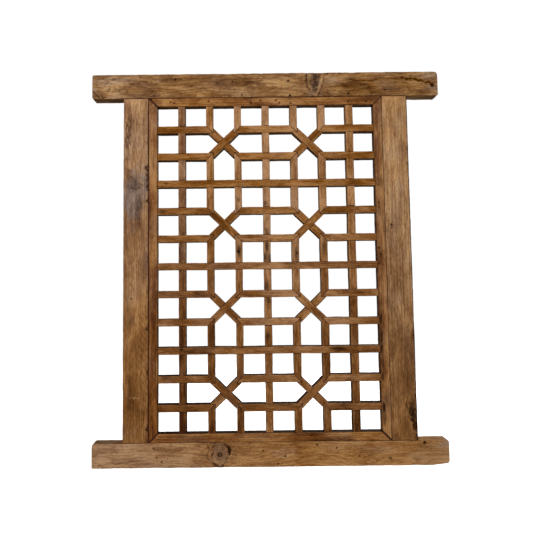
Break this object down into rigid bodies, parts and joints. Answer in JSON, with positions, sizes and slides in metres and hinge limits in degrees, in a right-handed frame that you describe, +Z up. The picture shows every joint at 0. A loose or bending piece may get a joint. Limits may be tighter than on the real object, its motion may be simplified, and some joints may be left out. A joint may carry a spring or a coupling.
{
  "type": "lattice window screen",
  "caption": "Wooden window screen with horned head and sill beams, stiles and a mitred inner frame round an open lattice of rails, posts and diagonal crosses.",
  "frame": {"origin": "middle of the head beam's back face, where the screen is fixed to a wall", "axes": "+Z up along the stiles, +Y out of the back, so the front faces -Y, and +X to the right seen from the front"},
  "size_m": [0.8982, 0.035, 0.9992],
  "materials": {
    "beam_wood": "old softwood, weathered grey-brown, unvarnished",
    "stile_wood": "old softwood, weathered brown, unvarnished",
    "inner_frame_wood": "old softwood, warm brown, worn satin",
    "lattice_wood": "old softwood, warm orange-brown, worn satin"
  },
  "bodies": {
    "root": {"bottom_elbow_left": "lattice_wood", "bottom_elbow_right": "lattice_wood", "bottom_yoke": "lattice_wood", "cross_1_left": "lattice_wood", "cross_1_right": "lattice_wood", "cross_2_left": "lattice_wood", "cross_2_right": "lattice_wood", "cross_3_left": "lattice_wood", "cross_3_right": "lattice_wood", "cross_4_left": "lattice_wood", "cross_4_right": "lattice_wood", "head_beam": "beam_wood", "inner_head": "inner_frame_wood", "inner_left": "inner_frame_wood", "inner_right": "inner_frame_wood", "inner_sill": "inner_frame_wood", "post_1": "lattice_wood", "post_2_centre": "lattice_wood", "post_2_lower": "lattice_wood", "post_2_upper": "lattice_wood", "post_3_centre": "lattice_wood", "post_3_lower": "lattice_wood", "post_3_upper": "lattice_wood", "post_4": "lattice_wood", "post_5_centre": "lattice_wood", "post_5_lower": "lattice_wood", "post_5_upper": "lattice_wood", "post_6_centre": "lattice_wood", "post_6_lower": "lattice_wood", "post_6_upper": "lattice_wood", "post_7": "lattice_wood", "rail_02_left": "lattice_wood", "rail_02_middle": "lattice_wood", "rail_02_right": "lattice_wood", "rail_03": "lattice_wood", "rail_04_left": "lattice_wood", "rail_04_middle": "lattice_wood", "rail_04_right": "lattice_wood", "rail_05_left": "lattice_wood", "rail_05_middle": "lattice_wood", "rail_05_right": "lattice_wood", "rail_06": "lattice_wood", "rail_07_left": "lattice_wood", "rail_07_middle": "lattice_wood", "rail_07_right": "lattice_wood", "rail_08_left": "lattice_wood", "rail_08_middle": "lattice_wood", "rail_08_right": "lattice_wood", "rail_09": "lattice_wood", "rail_10_left": "lattice_wood", "rail_10_middle": "lattice_wood", "rail_10_right": "lattice_wood", "sill_beam": "beam_wood", "stile_left": "stile_wood", "stile_right": "stile_wood", "top_elbow_left": "lattice_wood", "top_elbow_right": "lattice_wood", "top_yoke": "lattice_wood"}
  },
  "joints": []
}
